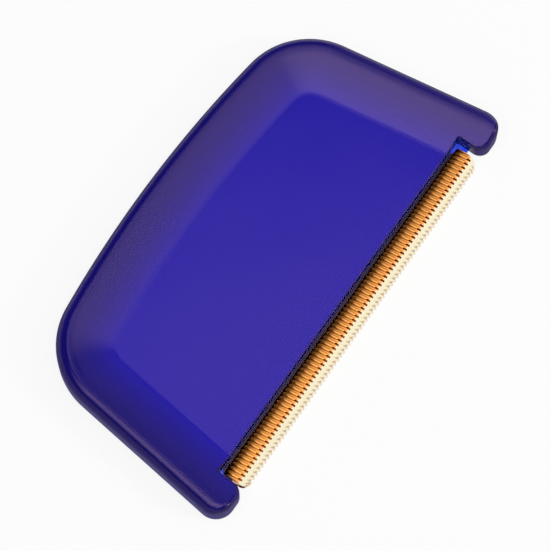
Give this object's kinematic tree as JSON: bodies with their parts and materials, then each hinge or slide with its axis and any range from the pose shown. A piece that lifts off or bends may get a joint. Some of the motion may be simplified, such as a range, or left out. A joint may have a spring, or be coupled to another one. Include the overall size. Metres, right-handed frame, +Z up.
{
  "type": "sweater comb",
  "caption": "Hand comb for lifting pills off knitwear: a shallow see-through tray-shaped handle, open at the front, with a ribbed brass bar of fine teeth held between its front ears.",
  "frame": {"origin": "centre of the flat underside: the middle of the width and of the depth, at the lowest face", "axes": "+X along the comb bar, +Y from the comb to the back of the handle, +Z up through the thickness"},
  "size_m": [0.095, 0.0492, 0.006],
  "materials": {
    "blue_plastic": "polished, see-through deep blue moulding, lighter where it is thin",
    "brass": "bright pressed brass, finely ribbed, paler on the smooth nose"
  },
  "bodies": {
    "root": {"handle": "blue_plastic", "comb": "brass"}
  },
  "joints": []
}
